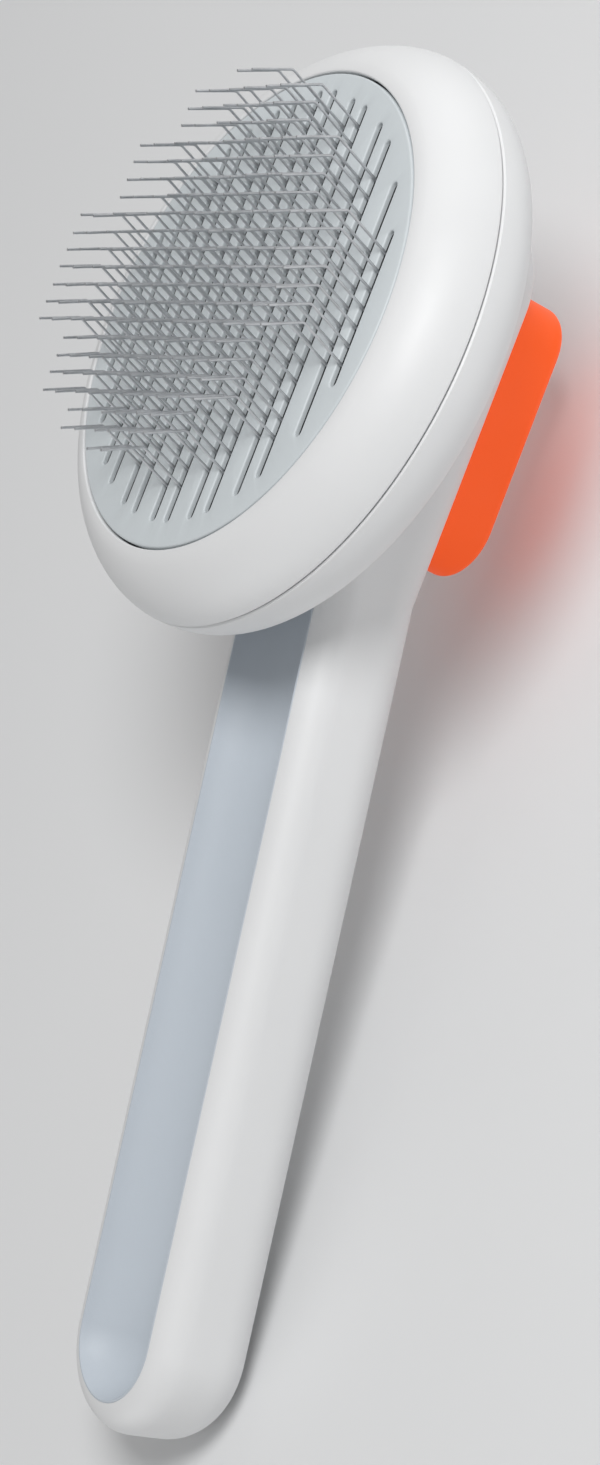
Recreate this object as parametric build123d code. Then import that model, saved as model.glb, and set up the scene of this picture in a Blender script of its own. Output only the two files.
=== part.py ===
from build123d import *
import os
from math import atan, cos, degrees, radians, sin, sqrt, tan

# Self-cleaning slicker brush for pets. A round head holds rows of bent steel wires. A slotted plate
# flush with the head's rim slides out along the wires when the button behind the head is pressed,
# which strips the hair off them, and four springs push plate and button back.
#
# Everything is drawn in the head's frame, in millimetres: X across the brush, Y towards the top of
# the head, Z along the plate's outward normal, origin at the middle of the plate's face. stand()
# then lifts the brush onto Z = 0 and centres its box on X and Y.

# ---- driving dimensions -------------------------------------------------------------------------
PLATE_RADIUS = 37.85
PLATE_THICKNESS = 0.8
PLATE_SKIRT_WALL = 1.5
PLATE_SKIRT_DEPTH = 9.5
TRAVEL = 8.5

BORE_RADIUS = 38.15
RIM_WIDTH = 8.33            # from the plate's edge out to the head's widest circle
RIM_DEPTH = 9.69            # from the plate's face back to the head's widest circle
RIM_EXPONENT = 1.68         # superellipse that rounds the front of the head
HEAD_INNER_EDGE = 38.0
HEAD_RADIUS = HEAD_INNER_EDGE + RIM_WIDTH
SEAM_GAP = 0.3
SHELL = 2.0
BACK_FLAT_RADIUS = 22.0     # flat middle of the head's back
BACK_DEPTH = 22.6
BACK_EXPONENT = 2.6         # superellipse that rounds the back of the head

SLOT_WIDTH = 1.5
SLOT_CIRCLE = 34.1          # the slots end on this circle
SLOT_EDGE = 0.3
SLOTS_Y = 0.25              # middle of the slots
PAIR_PITCH = 10.0           # from one pair of slots to the next
PAIR_SPREAD = 4.0           # between the two slots of a pair, and a staple's two legs

WIRE_RADIUS = 0.21
WIRE_PITCH = 2.85
WIRE_BEND = 0.8
CROWN_BEND = 0.5
WIRE_LEAN = 14.5            # degrees, up to the knee, towards the head's top
WIRE_HOOK = 23.0            # degrees, above the knee, towards the handle
KNEE_HEIGHT = 7.7
TIP_HEIGHT = 14.0
ROWS = {0: (-10, 11), 1: (-9, 10), 2: (-7, 7), 3: (-3, 3)}    # first and last staple of each pair

BED_RADIUS = 35.6
BED_TOP = -3.0
BED_THICKNESS = 3.5
RETAINER_RADIUS = 34.5
RETAINER_THICKNESS = 1.6

POST_RADIUS = 1.8
POST_PLACES = [(x, y) for x in (-5.0, 5.0) for y in (-18.0, 18.0)]
FRAME_TOP = -20.0
FRAME_THICKNESS = 2.5
FRAME_SIZE = (17.0, 44.0)
SPRING_RADIUS = 2.95        # middle of the spring's wire
SPRING_WIRE = 0.2
SPRING_TURNS = 5

BUTTON_HALF_WIDTH = 8.0
BUTTON_LENGTH = 44.4
BUTTON_Y = 0.2
BUTTON_FACE = -50.2
BUTTON_EDGE = 1.6
BUTTON_WALL = 2.0
FLANGE_OVERLAP = 1.2
FLANGE_THICKNESS = 1.5
PILLAR_RADIUS = 2.6
PILLAR_PLACES = [(x, y) for x in (-4.0, 4.0) for y in (-8.0, 8.0)]

BOSS_PLACES = [(x, y) for x in (-15.0, 15.0) for y in (-26.0, 26.0)] + [(-25.0, 0.0), (25.0, 0.0)]
BOSS_RADIUS = 2.5
BOSS_FOOT_RADIUS = 3.5
SCREW_RADIUS = 1.1
SCREW_HEAD_RADIUS = 2.1
SCREW_HEAD = 1.5
BED_SCREW_LENGTH = 11.0
FRAME_SCREW_LENGTH = 9.0

HANDLE_HALF_WIDTH = 14.0
HANDLE_DEPTH = 17.8
HANDLE_FRONT_ROUND = 5.0
HANDLE_BACK_ROUND = 7.5
HANDLE_SLOPE = 0.1786       # the handle leans back by this much for each millimetre of length
HANDLE_Y, HANDLE_Z = -80.0, -31.6     # a point on the handle's front plane
HANDLE_END = -80.9          # along the handle, from that point
HANDLE_TOP = 66.0
CAVITY_HALF_WIDTH = 11.3
CAVITY_FLOOR = 15.3
CAVITY_TOP = 48.0
RIB_PITCH = 24.0
RIB_COUNT = 5
RIB_THICKNESS = 1.6

TONGUE_TOP = 31.5           # the handle's continuation behind the head
TONGUE_BOTTOM = -50.0
TONGUE_BACK = -40.8
TONGUE_WALL = 2.2
TONGUE_BACK_WALL = 2.7
TONGUE_INNER_ROUND = 3.0

SCOOP_HALF_WIDTH = 9.6
SCOOP_DEPTH = 6.0
SCOOP_END = -76.4
INSERT_LAND = 0.3
INSERT_DEPTH = 8.0
INSERT_TOP = 50.5

CLEARANCE = 0.3             # between the moving pieces and the fixed ones
FIT = 0.15                  # between fixed pieces
CLOSE_FIT = 0.02            # round screws and wires

HANDLE_PLANE = Plane(
    origin=(0, HANDLE_Y, HANDLE_Z),
    x_dir=(1, 0, 0),
    z_dir=(0, -sin(atan(HANDLE_SLOPE)), cos(atan(HANDLE_SLOPE))),
)
SEAM = -RIM_DEPTH - SEAM_GAP / 2
BED_BOTTOM = BED_TOP - BED_THICKNESS
BEND_Z = BED_TOP + 0.12     # where the wires start to lean
KNEE_Y = (KNEE_HEIGHT - BEND_Z) * tan(radians(WIRE_LEAN))
CROWN = BED_BOTTOM - CROWN_BEND
RETAINER_TOP = CROWN - WIRE_RADIUS - 0.02
RETAINER_BOTTOM = RETAINER_TOP - RETAINER_THICKNESS
FRAME_BOTTOM = FRAME_TOP - FRAME_THICKNESS
TONGUE_FLOOR = TONGUE_BACK + TONGUE_BACK_WALL
FLANGE_BOTTOM = TONGUE_FLOOR + 0.2


# ---- helpers ------------------------------------------------------------------------------------
def rod(x, y, z_low, z_high, radius):
    """A round bar along Z."""
    return Pos(x, y, z_low) * extrude(Circle(radius), z_high - z_low)


def disc(radius, z_low, z_high):
    return rod(0, 0, z_low, z_high, radius)


def stadium(half_width, y_low, y_high):
    """A sketch with straight sides and half-round ends, longest along Y."""
    return Pos(0, (y_low + y_high) / 2) * SlotOverall(y_high - y_low, 2 * half_width, rotation=90)


def stadium_bar(half_width, y_low, y_high, z_low, z_high):
    return Pos(0, 0, z_low) * extrude(stadium(half_width, y_low, y_high), z_high - z_low)


def turned(*curves):
    """Turns a closed profile, drawn as radius and height, about Z."""
    return revolve(Plane.XZ * make_face(Curve() + list(curves)), Axis.Z, 360)


def edges_at(solid, z):
    """The edges that lie flat at height z."""
    return solid.edges().filter_by_position(Axis.Z, z - 0.01, z + 0.01)


def screw(x, y, z_under_head, length):
    return rod(x, y, z_under_head, z_under_head + SCREW_HEAD, SCREW_HEAD_RADIUS) + rod(
        x, y, z_under_head - length, z_under_head + 0.1, SCREW_RADIUS
    )


# ---- the head -----------------------------------------------------------------------------------
def rim_point(angle):
    """A point of the head's rounded front, from the plate's edge (0) to the widest circle (90)."""
    power = 2 / RIM_EXPONENT
    return (
        HEAD_INNER_EDGE + RIM_WIDTH * sin(radians(angle)) ** power,
        -RIM_DEPTH * (1 - cos(radians(angle)) ** power),
    )


def front_ring():
    """The rounded rim round the plate, with the bore that the plate slides in."""
    bore_edge = 0.3
    seam_z = SEAM + SEAM_GAP
    skirt_low, skirt_radius = -9.0, BORE_RADIUS + 1.8
    lip_radius = HEAD_RADIUS - 1.73
    start = (BORE_RADIUS + bore_edge, 0)
    widest = (HEAD_RADIUS, seam_z)
    outside = Spline(
        start, *[rim_point(a) for a in (25, 40, 55, 70, 82)], widest, tangents=((1, 0), (0, -1))
    )
    inside = Polyline(
        widest,
        (lip_radius, seam_z),
        (lip_radius, -7.4),
        (42.6, -4.8),
        (41.0, -3.2),
        (skirt_radius, -3.0),
        (skirt_radius, skirt_low),
        (BORE_RADIUS, skirt_low),
        (BORE_RADIUS, -bore_edge),
    )
    edge = RadiusArc((BORE_RADIUS, -bore_edge), start, bore_edge)
    return turned(outside, inside, edge)


def dome(inset):
    """The round back of the head as a solid, inset from its outer surface."""
    width = HEAD_RADIUS - BACK_FLAT_RADIUS - inset
    depth = BACK_DEPTH + SEAM - inset
    power = 2 / BACK_EXPONENT
    points = []
    for angle in (0, 8, 18, 30, 42, 54, 66, 78, 90):
        across, down = cos(radians(angle)), sin(radians(angle))
        points.append((BACK_FLAT_RADIUS + width * across**power, SEAM - depth * down**power))
    points[-1] = (BACK_FLAT_RADIUS, SEAM - depth)
    curve = Spline(*points, tangents=((0, -1), (-1, 0)))
    outline = Polyline(points[-1], (0, SEAM - depth), (0, SEAM), points[0])
    return turned(curve, outline)


def seam_lip():
    """The lip inside the rim that centres the front ring on the back of the head."""
    inner, outer = HEAD_RADIUS - 3.1, HEAD_RADIUS - 1.9
    return disc(outer, -13.0, -7.9) - disc(inner, -14.0, -7.0)


def bed_bosses():
    """Six stepped pillars that carry the retainer on their shoulders and the pin bed on top."""
    bosses = Part()
    for x, y in BOSS_PLACES:
        bosses += rod(x, y, -BACK_DEPTH + 1.8, RETAINER_BOTTOM, BOSS_FOOT_RADIUS)
        bosses += rod(x, y, RETAINER_BOTTOM - 0.1, BED_BOTTOM, BOSS_RADIUS)
    return bosses


def handle_bar():
    """The handle's outside, half round at its end, with its front and back edges rounded."""
    bar = stadium_bar(HANDLE_HALF_WIDTH, HANDLE_END, HANDLE_TOP, -HANDLE_DEPTH, 0)
    bar = fillet(edges_at(bar, -HANDLE_DEPTH), HANDLE_BACK_ROUND)
    bar = fillet(edges_at(bar, 0), HANDLE_FRONT_ROUND)
    return HANDLE_PLANE * bar


def handle_hollow():
    """The pocket for the grip insert and the ribbed cavity under it."""
    end = SCOOP_END - INSERT_LAND - FIT
    pocket_floor = -INSERT_DEPTH
    pocket_half = SCOOP_HALF_WIDTH + INSERT_LAND + FIT
    pocket = stadium_bar(pocket_half, end, INSERT_TOP + 30, pocket_floor, 0.2)
    pocket &= Pos(0, (end + INSERT_TOP + FIT) / 2, 0) * Box(40, INSERT_TOP + FIT - end, 40)
    cavity = stadium_bar(CAVITY_HALF_WIDTH, end - 1, CAVITY_TOP, -CAVITY_FLOOR, pocket_floor + 0.01)
    cavity = fillet(edges_at(cavity, -CAVITY_FLOOR), 3.0)
    for i in range(RIB_COUNT):
        y = (i - (RIB_COUNT - 1) / 2) * RIB_PITCH - 16
        cavity -= Pos(0, y, -CAVITY_FLOOR) * Box(40, RIB_THICKNESS, 40)
    return HANDLE_PLANE * (pocket + cavity)


def tongue_bar(half_width, y_low, y_high, z_back, z_front, back_round):
    bar = stadium_bar(half_width, y_low, y_high, z_back, z_front)
    return fillet(edges_at(bar, z_back), back_round)


def tongue():
    """The handle's continuation behind the head, down to where the two backs meet."""
    bar = tongue_bar(
        HANDLE_HALF_WIDTH,
        TONGUE_BOTTOM,
        TONGUE_TOP,
        TONGUE_BACK,
        -BACK_DEPTH + 1.2,
        HANDLE_BACK_ROUND,
    )
    return bar & HANDLE_PLANE * (Pos(0, 0, -HANDLE_FRONT_ROUND - 100) * Box(200, 400, 200))


def tongue_hollow():
    """The room for the button's flange and pillars, open to the head."""
    return tongue_bar(
        HANDLE_HALF_WIDTH - TONGUE_WALL,
        -25.8,
        TONGUE_TOP - TONGUE_WALL,
        TONGUE_FLOOR,
        -BACK_DEPTH + 3.5,
        TONGUE_INNER_ROUND,
    )


def main_body():
    """The back of the head, the tongue behind it and the handle, moulded in one."""
    body = dome(0) + handle_bar() + tongue()
    body -= dome(SHELL)
    body -= tongue_hollow()
    half = BUTTON_LENGTH / 2 + CLEARANCE
    body -= stadium_bar(
        BUTTON_HALF_WIDTH + CLEARANCE,
        BUTTON_Y - half,
        BUTTON_Y + half,
        TONGUE_BACK - 1,
        TONGUE_FLOOR + 1,
    )
    body -= handle_hollow()
    body += seam_lip() + bed_bosses()
    for x, y in BOSS_PLACES:
        body -= rod(x, y, BED_BOTTOM - BED_SCREW_LENGTH, 0, SCREW_RADIUS + CLOSE_FIT)
    return body


def grip_insert():
    """The softer insert in the handle's front, with a scoop that ends half round."""
    end = SCOOP_END - INSERT_LAND
    bar = stadium_bar(SCOOP_HALF_WIDTH + INSERT_LAND, end, INSERT_TOP + 30, -INSERT_DEPTH, 0)
    bar &= Pos(0, (end + INSERT_TOP) / 2, 0) * Box(40, INSERT_TOP - end, 40)
    radius = (SCOOP_HALF_WIDTH**2 + SCOOP_DEPTH**2) / (2 * SCOOP_DEPTH)
    ball_y = SCOOP_END + SCOOP_HALF_WIDTH
    axis_z = radius - SCOOP_DEPTH
    length = INSERT_TOP + 5 - ball_y
    scoop = Rot(90, 0, 0) * Cylinder(radius, length)
    scoop = Pos(0, ball_y + length / 2, axis_z) * scoop + Pos(0, ball_y, axis_z) * Sphere(radius)
    return HANDLE_PLANE * (bar - scoop)


# ---- the wires ----------------------------------------------------------------------------------
def pair_centres():
    """(name, X of the pair's middle, first and last row) for each pair of slots, left to right."""
    for i in range(-3, 4):
        first, last = ROWS[abs(i)]
        yield f"wire_row_{i + 4}", i * PAIR_PITCH, first, last


def row_y(k):
    """Where staple k of a pair stands in the bed."""
    return k * WIRE_PITCH


def slot_places():
    """(X, low end, high end) of each slot: on a circle, or just past the last wire's knee."""
    for _, middle, _, last in pair_centres():
        knee_end = row_y(last) + KNEE_Y + WIRE_RADIUS + CLEARANCE
        for x in (middle - PAIR_SPREAD / 2, middle + PAIR_SPREAD / 2):
            half = sqrt(SLOT_CIRCLE**2 - x**2)
            yield x, SLOTS_Y - half, max(SLOTS_Y + half, knee_end)


def staple():
    """One U of wire: its crown behind the bed, two legs with a knee, tips towards the handle."""
    tip_y = KNEE_Y - (TIP_HEIGHT - KNEE_HEIGHT) * tan(radians(WIRE_HOOK))
    leg = [(tip_y, TIP_HEIGHT), (KNEE_Y, KNEE_HEIGHT), (0, BEND_Z), (0, CROWN)]
    half = PAIR_SPREAD / 2
    points = [(-half, y, z) for y, z in leg] + [(half, y, z) for y, z in reversed(leg)]
    bends = [WIRE_BEND, WIRE_BEND, CROWN_BEND]
    path = FilletPolyline(*points, radius=bends + bends[::-1])
    section = Plane(origin=path @ 0, z_dir=path % 0) * Circle(WIRE_RADIUS)
    return sweep(section, path=path)


def wire_row(unit, x, first, last):
    return Compound([Pos(x, row_y(k), 0) * unit for k in range(first, last + 1)])


def pin_bed():
    """The disc that the wires are pushed through, screwed to the head's bosses."""
    bed = disc(BED_RADIUS, BED_TOP - BED_THICKNESS, BED_TOP)
    holes = [rod(x, y, -10, 0, POST_RADIUS + CLEARANCE) for x, y in POST_PLACES]
    holes += [rod(x, y, -10, 0, SCREW_RADIUS + CLOSE_FIT) for x, y in BOSS_PLACES]
    holes += [
        rod(x, y, BED_TOP - SCREW_HEAD - 0.1, 0, SCREW_HEAD_RADIUS + 0.1) for x, y in BOSS_PLACES
    ]
    for _, x, first, last in pair_centres():
        for k in range(first, last + 1):
            for side in (-PAIR_SPREAD / 2, PAIR_SPREAD / 2):
                holes.append(rod(x + side, row_y(k), -10, 0, WIRE_RADIUS + CLOSE_FIT))
    return bed - holes


def staple_retainer():
    """The thin disc behind the bed that keeps the staples' crowns in."""
    plate = disc(RETAINER_RADIUS, RETAINER_BOTTOM, RETAINER_TOP)
    holes = [rod(x, y, -12, 0, POST_RADIUS + CLEARANCE) for x, y in POST_PLACES]
    holes += [rod(x, y, -12, 0, BOSS_RADIUS + FIT) for x, y in BOSS_PLACES]
    return plate - holes


def bed_screws():
    under_head = BED_TOP - SCREW_HEAD - 0.1
    length = under_head - BED_BOTTOM + BED_SCREW_LENGTH - 1
    return Compound([screw(x, y, under_head, length) for x, y in BOSS_PLACES])


# ---- the moving pieces --------------------------------------------------------------------------
def cleaning_plate():
    """The slotted plate, its skirt that runs in the ring's bore, and its four posts."""
    plate = disc(PLATE_RADIUS, -PLATE_THICKNESS, 0)
    slots = []
    for x, low, high in slot_places():
        slots.append(Pos(x, 0, 0) * stadium_bar(SLOT_WIDTH / 2, low, high, -PLATE_THICKNESS - 1, 1))
    plate -= slots
    plate = fillet(edges_at(plate, 0), SLOT_EDGE)
    plate += disc(PLATE_RADIUS, -PLATE_SKIRT_DEPTH, -PLATE_THICKNESS) - disc(
        PLATE_RADIUS - PLATE_SKIRT_WALL, -PLATE_SKIRT_DEPTH - 1, -PLATE_THICKNESS + 0.5
    )
    for x, y in POST_PLACES:
        plate += rod(x, y, FRAME_BOTTOM, -PLATE_THICKNESS, POST_RADIUS)
    return plate


def push_frame():
    """The bridge that carries the button's push to the plate's four posts."""
    frame = Pos(0, 0, FRAME_BOTTOM) * extrude(RectangleRounded(*FRAME_SIZE, 4.0), FRAME_THICKNESS)
    holes = [rod(x, y, -30, -10, POST_RADIUS + CLOSE_FIT) for x, y in POST_PLACES]
    holes += [rod(x, y, -30, -10, SCREW_RADIUS + CLOSE_FIT) for x, y in PILLAR_PLACES]
    return frame - holes


def push_button():
    """The thumb button: a hollow cap, a flange that stops it in the housing, and four pillars."""
    half = BUTTON_LENGTH / 2
    flange_top = FLANGE_BOTTOM + FLANGE_THICKNESS
    cap = stadium_bar(BUTTON_HALF_WIDTH, BUTTON_Y - half, BUTTON_Y + half, BUTTON_FACE, flange_top)
    cap = fillet(edges_at(cap, BUTTON_FACE), BUTTON_EDGE)
    flange = stadium_bar(
        BUTTON_HALF_WIDTH + FLANGE_OVERLAP,
        BUTTON_Y - half - FLANGE_OVERLAP,
        BUTTON_Y + half + FLANGE_OVERLAP,
        FLANGE_BOTTOM,
        flange_top,
    )
    cap += chamfer(edges_at(flange, FLANGE_BOTTOM), 0.5)
    cap -= stadium_bar(
        BUTTON_HALF_WIDTH - BUTTON_WALL,
        BUTTON_Y - half + BUTTON_WALL,
        BUTTON_Y + half - BUTTON_WALL,
        BUTTON_FACE + BUTTON_WALL,
        flange_top + 1,
    )
    floor = BUTTON_FACE + BUTTON_WALL - 0.1
    for x, y in PILLAR_PLACES:
        cap += rod(x, y, floor, FRAME_BOTTOM, PILLAR_RADIUS)
    for x, y in PILLAR_PLACES:
        cap -= rod(x, y, FRAME_BOTTOM - FRAME_SCREW_LENGTH, -10, SCREW_RADIUS + CLOSE_FIT)
    return cap


def frame_screws():
    length = FRAME_SCREW_LENGTH + FRAME_THICKNESS - 1
    return Compound([screw(x, y, FRAME_TOP, length) for x, y in PILLAR_PLACES])


def return_spring(x, y):
    """A compression spring round one post, between the retainer and the push frame."""
    low, high = FRAME_TOP + SPRING_WIRE + 0.01, RETAINER_BOTTOM - SPRING_WIRE - 0.01
    height = high - low
    coil = Helix(pitch=height / SPRING_TURNS, height=height, radius=SPRING_RADIUS)
    section = Plane(origin=coil @ 0, z_dir=coil % 0) * Circle(SPRING_WIRE)
    return Pos(x, y, low) * sweep(section, path=coil)


# ---- the assembly -------------------------------------------------------------------------------
def pieces():
    """Every piece by its node's name, in the head's frame."""
    found = {
        "main_body": main_body(),
        "front_ring": front_ring(),
        "grip_insert": grip_insert(),
        "pin_bed": pin_bed(),
        "staple_retainer": staple_retainer(),
        "bed_screws": bed_screws(),
        "cleaning_plate": cleaning_plate(),
        "push_frame": push_frame(),
        "push_button": push_button(),
        "frame_screws": frame_screws(),
    }
    unit = staple()
    for name, x, first, last in pair_centres():
        found[name] = wire_row(unit, x, first, last)
    for i, (x, y) in enumerate(POST_PLACES, start=1):
        found[f"return_spring_{i}"] = return_spring(x, y)
    return found


def stand(found):
    """Lifts the brush onto Z = 0, its box centred on X and Y."""
    boxes = [piece.bounding_box() for piece in found.values()]
    low_y = min(box.min.Y for box in boxes)
    high_y = max(box.max.Y for box in boxes)
    low_z = min(box.min.Z for box in boxes)
    shift = Pos(0, -(low_y + high_y) / 2, -low_z)
    print("shift from the head's frame:", shift.position)
    return {name: shift * piece for name, piece in found.items()}


def main():
    os.makedirs("parts", exist_ok=True)
    for name, piece in stand(pieces()).items():
        export_step(piece, f"parts/{name}.step")


main()
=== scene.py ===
import math
import random

import bmesh
import bpy
from mathutils import Matrix, Vector


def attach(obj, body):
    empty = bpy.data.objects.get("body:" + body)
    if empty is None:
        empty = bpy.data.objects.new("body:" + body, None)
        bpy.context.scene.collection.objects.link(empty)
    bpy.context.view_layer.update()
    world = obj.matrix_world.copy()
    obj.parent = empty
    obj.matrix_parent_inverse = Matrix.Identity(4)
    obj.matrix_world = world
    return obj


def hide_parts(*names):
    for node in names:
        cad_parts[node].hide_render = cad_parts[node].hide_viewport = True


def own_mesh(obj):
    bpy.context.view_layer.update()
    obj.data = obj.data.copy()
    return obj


# Self-cleaning slicker brush, lying with its pins up. Lengths are in millimetres in the head's
# frame (X across, Y towards the head's top, Z along the plate's outward normal, origin at the
# middle of the plate's face); at() turns them into metres in the row's frame.

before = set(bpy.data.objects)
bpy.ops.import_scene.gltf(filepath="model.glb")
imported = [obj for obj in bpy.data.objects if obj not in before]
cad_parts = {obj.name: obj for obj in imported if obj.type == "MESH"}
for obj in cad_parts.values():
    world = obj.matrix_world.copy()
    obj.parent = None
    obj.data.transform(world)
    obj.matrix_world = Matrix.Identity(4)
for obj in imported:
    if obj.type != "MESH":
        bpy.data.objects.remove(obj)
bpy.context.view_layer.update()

MM = 0.001
HEAD_AT = Vector((0, 56.254, 62.145))       # the head frame's origin in the row's frame

PLATE_RADIUS, PLATE_THICKNESS = 37.85, 0.8
SKIRT_WALL, SKIRT_DEPTH = 1.5, 9.5
BORE_RADIUS = 38.15
RIM_WIDTH, RIM_DEPTH, RIM_EXPONENT = 8.33, 9.69, 1.68
HEAD_INNER_EDGE = 38.0
CLEARANCE = 0.3                             # between the moving pieces and the fixed ones
HEAD_RADIUS = HEAD_INNER_EDGE + RIM_WIDTH
SEAM_GAP = 0.3
SEAM = -RIM_DEPTH - SEAM_GAP / 2
SHELL = 2.0
RIM_WALL = 1.73                             # of the ring's skirt, where it meets the back
BORE_WALL, BORE_DEPTH = 1.8, 9.0            # of the collar that the plate runs in
BACK_FLAT_RADIUS, BACK_DEPTH, BACK_EXPONENT = 22.0, 22.6, 2.6

SLOT_WIDTH, SLOT_CIRCLE, SLOT_LIP, SLOTS_Y = 1.5, 34.1, 0.3, 0.25
KNEE_ROOM = 0.7                             # past the last knee; 0.3 as made, see rounded_path
PAIR_PITCH, PAIR_SPREAD = 10.0, 4.0

WIRE_RADIUS, WIRE_PITCH, WIRE_BEND = 0.21, 2.85, 0.6
WIRE_LEAN, WIRE_HOOK = 14.5, 23.0
KNEE_HEIGHT, TIP_HEIGHT = 7.7, 14.0
BED_TOP, CROWN = -3.0, -7.0
BEND_ABOVE_BED = 0.12                       # where the wires start to lean
KNEE_Y = (KNEE_HEIGHT - BED_TOP - BEND_ABOVE_BED) * math.tan(math.radians(WIRE_LEAN))
ROWS = {0: (-10, 11), 1: (-9, 10), 2: (-7, 7), 3: (-3, 3)}

HANDLE_HALF_WIDTH, HANDLE_DEPTH = 14.0, 17.8
HANDLE_FRONT_ROUND, HANDLE_BACK_ROUND = 5.0, 7.5
HANDLE_SLOPE = math.atan(0.1786)
HANDLE_AT = Vector((0, -80.0, -31.6))
HANDLE_END, HANDLE_TOP = -80.9, 66.0
SCOOP_HALF_WIDTH, SCOOP_DEPTH, SCOOP_END = 9.6, 6.0, -76.4
INSERT_HALF_WIDTH, INSERT_DEPTH, INSERT_TOP = 9.9, 8.0, 50.5
INSERT_FIT = 0.02                               # drawn closer than the 0.15 it is made with

TONGUE_BACK, TONGUE_FLOOR = -40.8, -38.1
HOUSING_HALF_WIDTH, HOUSING_ROUND = 11.8, 3.0
HOUSING_BOTTOM = -14.0                      # centre of the housing's lower half-round end
TONGUE_BOTTOM, TONGUE_TOP = -36.0, 17.5     # centres of its half-round ends
BUTTON_HALF_WIDTH, BUTTON_EDGE, BUTTON_WALL = 8.0, 1.6, 2.0
FLANGE_TOP = TONGUE_FLOOR + 1.7
FLANGE_THICKNESS, FLANGE_OVERLAP, FLANGE_BEVEL = 1.5, 1.2, 0.5
BUTTON_ENDS = (-14.0, 14.4)                 # centres of its half-round ends
BUTTON_FACE = -50.2
FRAME_TOP, FRAME_BOTTOM = -20.0, -22.5
POST_RADIUS, POST_X, POST_Y = 1.8, 5.0, 18.0
PILLAR_RADIUS, PILLAR_X, PILLAR_Y = 2.6, 4.0, 8.0
SPRING_RADIUS, SPRING_WIRE, SPRING_TURNS = 2.95, 0.2, 5
RETAINER_BOTTOM = -8.83


def at(x, y, z):
    return (Vector((x, y, z)) + HEAD_AT) * MM


def along_handle(x, y, z):
    """From the handle's own frame (Y along it, Z out of its front) to the row's frame."""
    tilted = Matrix.Rotation(HANDLE_SLOPE, 3, "X") @ Vector((x, y, z))
    return at(*(HANDLE_AT + tilted))


# ---- mesh helpers -------------------------------------------------------------------------------
def arc(centre, radius, start, end, steps=8):
    """Points of a circular arc in (radius, height), angles in degrees."""
    for i in range(steps + 1):
        angle = math.radians(start + (end - start) * i / steps)
        yield (centre[0] + radius * math.cos(angle), centre[1] + radius * math.sin(angle))


def object_from(bm, name, sharp=35):
    bmesh.ops.remove_doubles(bm, verts=bm.verts, dist=1e-7)
    bmesh.ops.recalc_face_normals(bm, faces=bm.faces)
    mesh = bpy.data.meshes.new(name)
    bm.to_mesh(mesh)
    bm.free()
    smooth(mesh, sharp)
    obj = bpy.data.objects.new(name, mesh)
    bpy.context.scene.collection.objects.link(obj)
    return obj


def smooth(mesh, sharp):
    mesh.shade_smooth()
    mesh.set_sharp_from_angle(angle=math.radians(sharp))


def bridge(bm, rings, closed_ring=True):
    """Quads between neighbouring rings of as many points each."""
    grown = [[bm.verts.new(p) for p in ring] for ring in rings]
    for low, high in zip(grown, grown[1:]):
        count = len(low)
        for i in range(count if closed_ring else count - 1):
            j = (i + 1) % count
            corners = [low[i], low[j], high[j], high[i]]
            bm.faces.new(corners)


def turned(bm, profile, steps=256):
    """Turns a profile of (radius, height) about the head's axis."""
    rings = []
    for radius, height in profile:
        angles = (2 * math.pi * i / steps for i in range(steps))
        rings.append([at(radius * math.cos(a), radius * math.sin(a), height) for a in angles])
    bridge(bm, rings)


def stadium_ring(half_width, ends, z, steps=40):
    """Points round a stadium whose half-round ends are centred at the two Y values."""
    for centre, start in ((ends[1], 0), (ends[0], 180)):
        for x, y in arc((0, centre), half_width, start, start + 180, steps):
            yield (x, y, z)


def stadium_loft(bm, profile, ends, place=at, x=0):
    """Sweeps a profile of (inset radius, height) round a stadium's centre line."""
    bridge(bm, [[place(x + p, q, r) for p, q, r in stadium_ring(w, ends, z)] for w, z in profile])


def trough_loft(bm, profile, end, top, place):
    """The same, with one half-round end and a flat cut at the top."""
    rings = []
    for half_width, z in profile:
        ring = [(half_width, top, z)]
        ring += [(x, y, z) for x, y in arc((0, end), half_width, 0, -180, 40)]
        ring.append((-half_width, top, z))
        rings.append([place(*p) for p in ring])
    bridge(bm, rings, closed_ring=False)
    bmesh.ops.remove_doubles(bm, verts=bm.verts, dist=1e-7)
    bmesh.ops.holes_fill(bm, edges=[e for e in bm.edges if e.is_boundary], sides=0)


def rod(bm, x, y, z_low, z_high, radius, steps=32):
    profile = [(0, z_low), (radius, z_low), (radius, z_high), (0, z_high)]
    rings = []
    for r, z in profile:
        angles = (2 * math.pi * i / steps for i in range(steps))
        rings.append([at(x + r * math.cos(a), y + r * math.sin(a), z) for a in angles])
    bridge(bm, rings)


def combine(obj, other, operation, sharp=35):
    """Joins another mesh to obj, or cuts it away, and drops the other."""
    modifier = obj.modifiers.new("combine", "BOOLEAN")
    modifier.operation = operation
    modifier.solver = "EXACT"
    modifier.object = other
    done = obj.evaluated_get(bpy.context.evaluated_depsgraph_get())
    mesh = bpy.data.meshes.new_from_object(done)
    obj.modifiers.clear()
    obj.data = mesh
    smooth(mesh, sharp)
    bpy.data.objects.remove(other)
    return obj


def add_piece(obj, material, body, slot, *nodes):
    obj.data.materials.clear()
    obj.data.materials.append(material)
    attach(obj, body)
    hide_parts(*nodes)


# ---- the head and the handle --------------------------------------------------------------------
def rim_point(angle):
    """A point of the head's rounded front, from the plate's edge (0) to the widest circle (90)."""
    power = 2 / RIM_EXPONENT
    return (
        HEAD_INNER_EDGE + RIM_WIDTH * math.sin(math.radians(angle)) ** power,
        -RIM_DEPTH * (1 - max(math.cos(math.radians(angle)), 0) ** power),
    )


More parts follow.
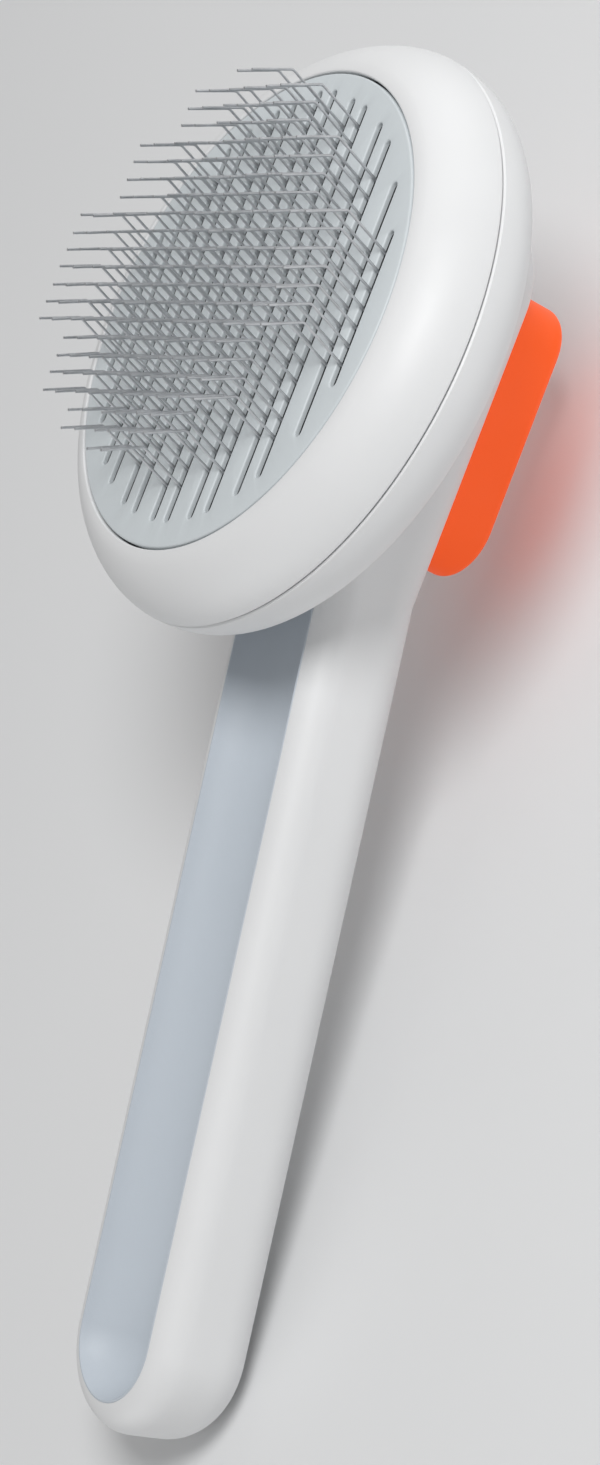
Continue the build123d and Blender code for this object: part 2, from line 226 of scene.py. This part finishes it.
def front_ring():
    bore_edge, seam_edge = 0.3, 0.25
    seam_z = SEAM + SEAM_GAP
    profile = list(arc((BORE_RADIUS + bore_edge, -bore_edge), bore_edge, 180, 90, 5))
    profile += [rim_point(a) for a in range(18, 87, 3)]
    profile += arc((HEAD_RADIUS - seam_edge, seam_z + seam_edge), seam_edge, 0, -90, 5)
    inside = HEAD_RADIUS - RIM_WALL
    profile += [(inside, seam_z), (inside, -7.4), (42.6, -4.8), (41.0, -3.2)]
    collar = BORE_RADIUS + BORE_WALL
    profile += [(collar, -3.0), (collar, -BORE_DEPTH), (BORE_RADIUS, -BORE_DEPTH)]
    profile.append(profile[0])
    bm = bmesh.new()
    turned(bm, profile)
    return object_from(bm, "rim", 50)


def dome(name, inset):
    """The round back of the head as a solid, inset from its outer surface."""
    width = HEAD_RADIUS - BACK_FLAT_RADIUS - inset
    depth = BACK_DEPTH + SEAM - inset
    edge = 0.25 if inset == 0 else 0.0
    profile = [(0, SEAM), (BACK_FLAT_RADIUS + width - edge, SEAM)]
    power = 2 / BACK_EXPONENT
    for i in range(41):
        across, down = math.cos(math.radians(2.25 * i)), math.sin(math.radians(2.25 * i))
        height = SEAM - depth * down**power
        profile.append((BACK_FLAT_RADIUS + width * max(across, 0) ** power, min(height, SEAM - edge)))
    profile.append((0, SEAM - depth))
    bm = bmesh.new()
    turned(bm, profile)
    return object_from(bm, name)


def handle_bar():
    half, back, front = HANDLE_HALF_WIDTH, HANDLE_BACK_ROUND, HANDLE_FRONT_ROUND
    profile = [(0, -HANDLE_DEPTH)]
    profile += arc((half - back, back - HANDLE_DEPTH), back, -90, 0, 16)
    profile += arc((half - front, -front), front, 0, 90, 12)
    profile.append((0, 0))
    bm = bmesh.new()
    stadium_loft(bm, profile, (HANDLE_END + half, HANDLE_TOP - half), along_handle)
    return object_from(bm, "handle")


def insert_pocket():
    half = INSERT_HALF_WIDTH + INSERT_FIT
    profile = [(0, -INSERT_DEPTH), (half, -INSERT_DEPTH), (half, 0.2), (0, 0.2)]
    bm = bmesh.new()
    trough_loft(bm, profile, SCOOP_END + SCOOP_HALF_WIDTH, INSERT_TOP + INSERT_FIT, along_handle)
    return object_from(bm, "pocket")


def tongue(name, half, ends, back, rounding, top):
    profile = [(0, back)]
    profile += arc((half - rounding, back + rounding), rounding, -90, 0, 16)
    profile += [(half, top), (0, top)]
    bm = bmesh.new()
    stadium_loft(bm, profile, ends)
    return object_from(bm, name)


def behind_handle_front():
    """A block behind the handle's rounded front edge, which trims the tongue's lower end."""
    bm = bmesh.new()
    corners = [(x, y) for x, y in ((-60, -120), (60, -120), (60, 200), (-60, 200))]
    rings = [[along_handle(x, y, z) for x, y in corners] for z in (-150, -HANDLE_FRONT_ROUND)]
    bridge(bm, rings)
    bmesh.ops.holes_fill(bm, edges=[e for e in bm.edges if e.is_boundary], sides=0)
    return object_from(bm, "trim")


def button_hole():
    half = BUTTON_HALF_WIDTH + CLEARANCE
    lip = 0.3
    profile = [(0, TONGUE_BACK - 1), (half + lip, TONGUE_BACK - 1), (half + lip, TONGUE_BACK - 0.01)]
    profile += arc((half + lip, TONGUE_BACK + lip), lip, 270, 180, 4)
    profile += [(half, TONGUE_FLOOR + 1), (0, TONGUE_FLOOR + 1)]
    bm = bmesh.new()
    stadium_loft(bm, profile, BUTTON_ENDS)
    return object_from(bm, "hole")


def main_body():
    """Dome, handle and tongue in one skin, hollowed where the moving pieces go."""
    body = dome("main_shell", 0)
    combine(body, handle_bar(), "UNION")
    tongue_ends = (TONGUE_BOTTOM, TONGUE_TOP)
    half, rounding = HANDLE_HALF_WIDTH, HANDLE_BACK_ROUND
    tail = tongue("tongue", half, tongue_ends, TONGUE_BACK, rounding, -BACK_DEPTH + 1.2)
    combine(tail, behind_handle_front(), "INTERSECT")
    combine(body, tail, "UNION")
    combine(body, dome("hollow", SHELL), "DIFFERENCE")
    half, rounding, ends = HOUSING_HALF_WIDTH, HOUSING_ROUND, (HOUSING_BOTTOM, TONGUE_TOP)
    housing = tongue("housing", half, ends, TONGUE_FLOOR, rounding, -BACK_DEPTH + 3.5)
    combine(body, housing, "DIFFERENCE")
    combine(body, button_hole(), "DIFFERENCE")
    combine(body, insert_pocket(), "DIFFERENCE")
    body.name = "main_shell"
    return body


def grip_insert():
    """The scooped insert: a long hollow of constant radius, with a ball-shaped lower end."""
    radius = (SCOOP_HALF_WIDTH**2 + SCOOP_DEPTH**2) / (2 * SCOOP_DEPTH)
    edge = 0.12
    profile = [(0, -INSERT_DEPTH), (INSERT_HALF_WIDTH, -INSERT_DEPTH)]
    profile += arc((INSERT_HALF_WIDTH - edge, -edge), edge, 0, 90, 4)
    for i in range(25):
        width = SCOOP_HALF_WIDTH * (1 - i / 24)
        profile.append((width, radius - SCOOP_DEPTH - math.sqrt(radius**2 - width**2)))
    bm = bmesh.new()
    trough_loft(bm, profile, SCOOP_END + SCOOP_HALF_WIDTH, INSERT_TOP, along_handle)
    return object_from(bm, "grip_channel", 30)


# ---- the moving pieces --------------------------------------------------------------------------
def pair_centres():
    for i in range(-3, 4):
        yield (i, i * PAIR_PITCH)


def slot_cutters():
    """One bar for each slot, flared at the plate's face."""
    bm = bmesh.new()
    half = SLOT_WIDTH / 2
    profile = [(0, -PLATE_THICKNESS - 1), (half, -PLATE_THICKNESS - 1)]
    profile += arc((half + SLOT_LIP, -SLOT_LIP), SLOT_LIP, 180, 90, 4)
    profile += [(half + SLOT_LIP, 1), (0, 1)]
    for pair, middle in pair_centres():
        knee_end = ROWS[abs(pair)][1] * WIRE_PITCH + KNEE_Y + WIRE_RADIUS + KNEE_ROOM - half
        for x in (middle - PAIR_SPREAD / 2, middle + PAIR_SPREAD / 2):
            reach = math.sqrt(SLOT_CIRCLE**2 - x**2) - half
            stadium_loft(bm, profile, (SLOTS_Y - reach, max(SLOTS_Y + reach, knee_end)), x=x)
    return object_from(bm, "slots")


def cleaning_plate():
    edge = 0.35
    inner = PLATE_RADIUS - SKIRT_WALL
    profile = [(0, 0)]
    profile += arc((PLATE_RADIUS - edge, -edge), edge, 90, 0, 5)
    profile += [(PLATE_RADIUS, -SKIRT_DEPTH), (inner, -SKIRT_DEPTH), (inner, -PLATE_THICKNESS)]
    profile.append((0, -PLATE_THICKNESS))
    bm = bmesh.new()
    turned(bm, profile)
    plate = combine(object_from(bm, "plate"), slot_cutters(), "DIFFERENCE", 25)
    posts = bmesh.new()
    posts.from_mesh(plate.data)
    for x in (-POST_X, POST_X):
        for y in (-POST_Y, POST_Y):
            rod(posts, x, y, FRAME_BOTTOM, -PLATE_THICKNESS, POST_RADIUS)
    bpy.data.objects.remove(plate)
    return object_from(posts, "slotted_plate", 25)


def push_button():
    """The cap with its rounded edge, the flange inside the housing, and the pillars."""
    half, edge = BUTTON_HALF_WIDTH, BUTTON_EDGE
    top = FLANGE_TOP
    flange = half + FLANGE_OVERLAP
    bottom = top - FLANGE_THICKNESS
    profile = [(0, BUTTON_FACE)]
    profile += arc((half - edge, BUTTON_FACE + edge), edge, -90, 0, 12)
    profile += [(half, bottom), (flange - FLANGE_BEVEL, bottom), (flange, bottom + FLANGE_BEVEL)]
    profile.append((flange, top))
    profile += [(half - BUTTON_WALL, top), (half - BUTTON_WALL, BUTTON_FACE + BUTTON_WALL)]
    profile.append((0, BUTTON_FACE + BUTTON_WALL))
    bm = bmesh.new()
    stadium_loft(bm, profile, BUTTON_ENDS)
    for x in (-PILLAR_X, PILLAR_X):
        for y in (-PILLAR_Y, PILLAR_Y):
            rod(bm, x, y, BUTTON_FACE + BUTTON_WALL, FRAME_BOTTOM, PILLAR_RADIUS)
    return object_from(bm, "thumb_button")


# ---- wires and springs --------------------------------------------------------------------------
def rounded_path(points, radius, steps=5):
    """Rounds a polyline's inner corners.

    slerp gives unit vectors, so every bend is drawn with a radius of 1 mm about the centre meant
    for the given radius, and stands up to 0.4 mm past its corner. KNEE_ROOM allows for it.
    """
    path = [points[0]]
    for before, corner, after in zip(points, points[1:], points[2:]):
        to_before = (before - corner).normalized()
        to_after = (after - corner).normalized()
        half_angle = to_before.angle(to_after) / 2
        reach = radius / math.tan(half_angle)
        centre = corner + (to_before + to_after).normalized() * radius / math.sin(half_angle)
        start = corner + to_before * reach - centre
        end = corner + to_after * reach - centre
        for i in range(steps + 1):
            path.append(centre + start.slerp(end, i / steps) if start.angle(end) > 1e-3 else corner)
    path.append(points[-1])
    return path


def tube(bm, path, radius, sides=10):
    """A round wire along a path, its ends closed flat."""
    rings = []
    side = (path[1] - path[0]).orthogonal().normalized()
    for i, point in enumerate(path):
        ahead = path[min(i + 1, len(path) - 1)] - path[max(i - 1, 0)]
        ahead.normalize()
        side = (side - ahead * side.dot(ahead)).normalized()
        other = ahead.cross(side)
        ring = []
        for k in range(sides):
            angle = 2 * math.pi * k / sides
            ring.append(point + (side * math.cos(angle) + other * math.sin(angle)) * radius)
        if i == 0:
            rings.append([point] * sides)
        rings.append(ring)
        if i == len(path) - 1:
            rings.append([point] * sides)
    bridge(bm, [[at(*p) for p in ring] for ring in rings])


def staple_path(middle, y, rng):
    """One U of wire from tip to tip, each leg bent a little differently."""
    path = []
    for side in (-PAIR_SPREAD / 2, PAIR_SPREAD / 2):
        lean = math.tan(math.radians(WIRE_LEAN + rng.uniform(-0.5, 0.5)))
        hook = math.tan(math.radians(WIRE_HOOK + rng.uniform(-0.8, 0.8)))
        x = middle + side
        bend = BED_TOP + BEND_ABOVE_BED
        knee = y + (KNEE_HEIGHT - bend) * lean
        tip = knee - (TIP_HEIGHT - KNEE_HEIGHT) * hook
        sway = rng.uniform(-0.12, 0.12)
        leg = [(x + sway, tip, TIP_HEIGHT), (x + sway / 2, knee, KNEE_HEIGHT)]
        leg += [(x, y, bend), (x, y, CROWN)]
        path += leg if side < 0 else leg[::-1]
    return rounded_path([Vector(p) for p in path], WIRE_BEND)


def wire_row(pair, middle):
    rng = random.Random(40 + pair)
    first, last = ROWS[abs(pair)]
    bm = bmesh.new()
    for k in range(first, last + 1):
        tube(bm, staple_path(middle, k * WIRE_PITCH, rng), WIRE_RADIUS)
    return object_from(bm, f"wires_{pair + 4}", 50)


def return_spring(index, x, y):
    low, high = FRAME_TOP + SPRING_WIRE, RETAINER_BOTTOM - SPRING_WIRE
    path = []
    for i in range(SPRING_TURNS * 24 + 1):
        angle = 2 * math.pi * i / 24
        z = low + (high - low) * i / (SPRING_TURNS * 24)
        across, along = SPRING_RADIUS * math.cos(angle), SPRING_RADIUS * math.sin(angle)
        path.append(Vector((x + across, y + along, z)))
    bm = bmesh.new()
    tube(bm, path, SPRING_WIRE, 8)
    return object_from(bm, f"coil_{index}", 60)


# ---- materials ----------------------------------------------------------------------------------
def node_material(name):
    material = bpy.data.materials.new(name)
    material.use_nodes = True
    tree = material.node_tree
    return material, tree, tree.nodes["Principled BSDF"]


def noise(tree, scale, detail=4.0, stretch=(1, 1, 1)):
    """A noise texture in the object's own coordinates; scale is in features per metre."""
    place = tree.nodes.new("ShaderNodeTexCoord")
    mapping = tree.nodes.new("ShaderNodeMapping")
    mapping.inputs["Scale"].default_value = stretch
    texture = tree.nodes.new("ShaderNodeTexNoise")
    texture.inputs["Scale"].default_value = scale
    texture.inputs["Detail"].default_value = detail
    tree.links.new(place.outputs["Object"], mapping.inputs["Vector"])
    tree.links.new(mapping.outputs["Vector"], texture.inputs["Vector"])
    return texture.outputs["Fac"]


def spread(tree, value, low, high, out_low, out_high):
    """Maps a value from one range to another."""
    node = tree.nodes.new("ShaderNodeMapRange")
    node.inputs["From Min"].default_value = low
    node.inputs["From Max"].default_value = high
    node.inputs["To Min"].default_value = out_low
    node.inputs["To Max"].default_value = out_high
    tree.links.new(value, node.inputs["Value"])
    return node.outputs["Result"]


def bump(tree, shader, height, strength, distance):
    node = tree.nodes.new("ShaderNodeBump")
    node.inputs["Strength"].default_value = strength
    node.inputs["Distance"].default_value = distance
    tree.links.new(height, node.inputs["Height"])
    tree.links.new(node.outputs["Normal"], shader.inputs["Normal"])


def tint(tree, shader, value, dark, light):
    """Colour that drifts a little between two shades."""
    node = tree.nodes.new("ShaderNodeMix")
    node.data_type = "RGBA"
    node.inputs["A"].default_value = (*dark, 1)
    node.inputs["B"].default_value = (*light, 1)
    tree.links.new(value, node.inputs["Factor"])
    tree.links.new(node.outputs["Result"], shader.inputs["Base Color"])


def moulded_plastic(name, colour, roughness, grain=2600, grain_depth=0.000012, scuff=0.08):
    """Moulded plastic: fine grain, slow drift of shade and gloss, and faint rubbed streaks."""
    material, tree, shader = node_material(name)
    drift = spread(tree, noise(tree, 45, 3), 0.3, 0.7, 0, 1)
    tint(tree, shader, drift, [c * 0.975 for c in colour], colour)
    streaks = spread(tree, noise(tree, 260, 6, (1, 0.12, 1)), 0.55, 0.75, 0, scuff)
    blotches = spread(tree, noise(tree, 120, 5), 0.3, 0.7, roughness - 0.04, roughness + 0.05)
    total = tree.nodes.new("ShaderNodeMath")
    total.operation = "ADD"
    tree.links.new(streaks, total.inputs[0])
    tree.links.new(blotches, total.inputs[1])
    tree.links.new(total.outputs["Value"], shader.inputs["Roughness"])
    bump(tree, shader, noise(tree, grain, 2), 0.35, grain_depth)
    return material


def drawn_wire(name, colour, roughness):
    """Steel with fine drawing marks and a few dull patches."""
    material, tree, shader = node_material(name)
    shader.inputs["Metallic"].default_value = 1.0
    patches = spread(tree, noise(tree, 400, 4), 0.35, 0.7, 0, 1)
    tint(tree, shader, patches, [c * 0.8 for c in colour], colour)
    dull = spread(tree, noise(tree, 900, 4), 0.3, 0.7, roughness - 0.08, roughness + 0.1)
    tree.links.new(dull, shader.inputs["Roughness"])
    bump(tree, shader, noise(tree, 6000, 2, (1, 1, 0.1)), 0.3, 0.00001)
    return material


def white_shell():
    """The body's white, with a thin satin coat."""
    material = moulded_plastic("white_shell", (0.80, 0.805, 0.81), 0.46)
    shader = material.node_tree.nodes["Principled BSDF"]
    shader.inputs["Coat Weight"].default_value = 0.06
    shader.inputs["Coat Roughness"].default_value = 0.35
    return material


def orange_plastic():
    """Bright orange, with a faint painted glow: its emission keeps it brighter than lit plastic alone
    would be.
    """
    material = moulded_plastic("orange_plastic", (1.0, 0.12, 0.004), 0.5)
    shader = material.node_tree.nodes["Principled BSDF"]
    # painted glow: the orange gives off a little light of its own, standing in for stronger lighting
    shader.inputs["Emission Color"].default_value = (1.0, 0.07, 0.002, 1)
    shader.inputs["Emission Strength"].default_value = 0.30
    return material


# ---- the stage ----------------------------------------------------------------------------------
def floor():
    bm = bmesh.new()
    for x, y in ((-3, -3), (3, -3), (3, 3), (-3, 3)):
        bm.verts.new((x, y, -0.0006))
    bm.faces.new(bm.verts)
    plane = object_from(bm, "floor")
    material, tree, shader = node_material("pale_floor")
    tint(tree, shader, noise(tree, 3, 2), (0.78, 0.785, 0.79), (0.81, 0.815, 0.82))
    shader.inputs["Roughness"].default_value = 0.9
    plane.data.materials.append(material)


def area_light(name, position, target, size, power):
    data = bpy.data.lights.new(name, "AREA")
    data.shape = "DISK"
    data.size = size
    data.energy = power
    light = bpy.data.objects.new(name, data)
    light.location = position
    light.rotation_euler = (Vector(target) - Vector(position)).to_track_quat("-Z", "Y").to_euler()
    bpy.context.scene.collection.objects.link(light)


def lights():
    target = at(0, -40, -20)
    area_light("key", target + Vector((0.62, 0.24, 0.75)), target, 0.4, 6.1)
    area_light("back", target + Vector((-0.10, 0.92, 0.40)), target, 0.8, 2.0)
    area_light("fill", target + Vector((-0.22, -0.95, 0.08)), target, 0.8, 2.2)
    world = bpy.data.worlds.new("studio")
    world.use_nodes = True
    world.node_tree.nodes["Background"].inputs["Color"].default_value = (1, 1, 1, 1)
    world.node_tree.nodes["Background"].inputs["Strength"].default_value = 0.32
    bpy.context.scene.world = world


def camera():
    """Seen from the right and above, the brush upright in the picture."""
    back = Vector((0.8431, -0.1170, 0.5249)).normalized()
    right = Vector((-0.0982, 0.9262, 0.3640)).cross(back).normalized()
    up = back.cross(right)
    data = bpy.data.cameras.new("camera")
    data.sensor_fit = "VERTICAL"
    data.sensor_height = 36.0
    data.lens = 98.54
    data.clip_end = 20
    eye = bpy.data.objects.new("camera", data)
    place = Matrix((right, up, back)).transposed().to_4x4()
    place.translation = at(504.05, -122.78, 278.14)
    eye.matrix_world = place
    bpy.context.scene.collection.objects.link(eye)
    bpy.context.scene.camera = eye


# ---- the scene ----------------------------------------------------------------------------------
def dress_hidden_nodes(inner, steel):
    for name in ("pin_bed", "staple_retainer", "push_frame"):
        smooth(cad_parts[name].data, 30)
        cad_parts[name].data.materials.clear()
        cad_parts[name].data.materials.append(inner)
    for name in ("bed_screws", "frame_screws"):
        smooth(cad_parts[name].data, 30)
        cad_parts[name].data.materials.clear()
        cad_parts[name].data.materials.append(steel)


def build():
    shell = white_shell()
    steel = drawn_wire("plain_steel", (0.6, 0.6, 0.62), 0.35)
    wire = drawn_wire("drawn_wire", (0.72, 0.73, 0.75), 0.42)
    add_piece(front_ring(), shell, "brush_body", "shell", "front_ring")
    add_piece(main_body(), shell, "brush_body", "shell", "main_body")
    grip = moulded_plastic("grip_plastic", (0.55, 0.60, 0.655), 0.5, 3400, 0.00002)
    add_piece(grip_insert(), grip, "brush_body", "grip", "grip_insert")
    plate = moulded_plastic("plate_plastic", (0.65, 0.695, 0.715), 0.45)
    add_piece(cleaning_plate(), plate, "cleaner", "plate", "cleaning_plate")
    add_piece(push_button(), orange_plastic(), "cleaner", "button", "push_button")
    for pair, middle in pair_centres():
        add_piece(wire_row(pair, middle), wire, "brush_body", "wire", f"wire_row_{pair + 4}")
    places = [(x, y) for x in (-POST_X, POST_X) for y in (-POST_Y, POST_Y)]
    for i, (x, y) in enumerate(places, start=1):
        spring = return_spring(i, x, y)
        add_piece(spring, steel, "brush_body", "steel", f"return_spring_{i}")
        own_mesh(spring)
    inner = moulded_plastic("inner_plastic", (0.05, 0.052, 0.058), 0.55)
    dress_hidden_nodes(inner, steel)


build()
floor()
lights()
camera()
bpy.context.scene.view_settings.view_transform = "Standard"
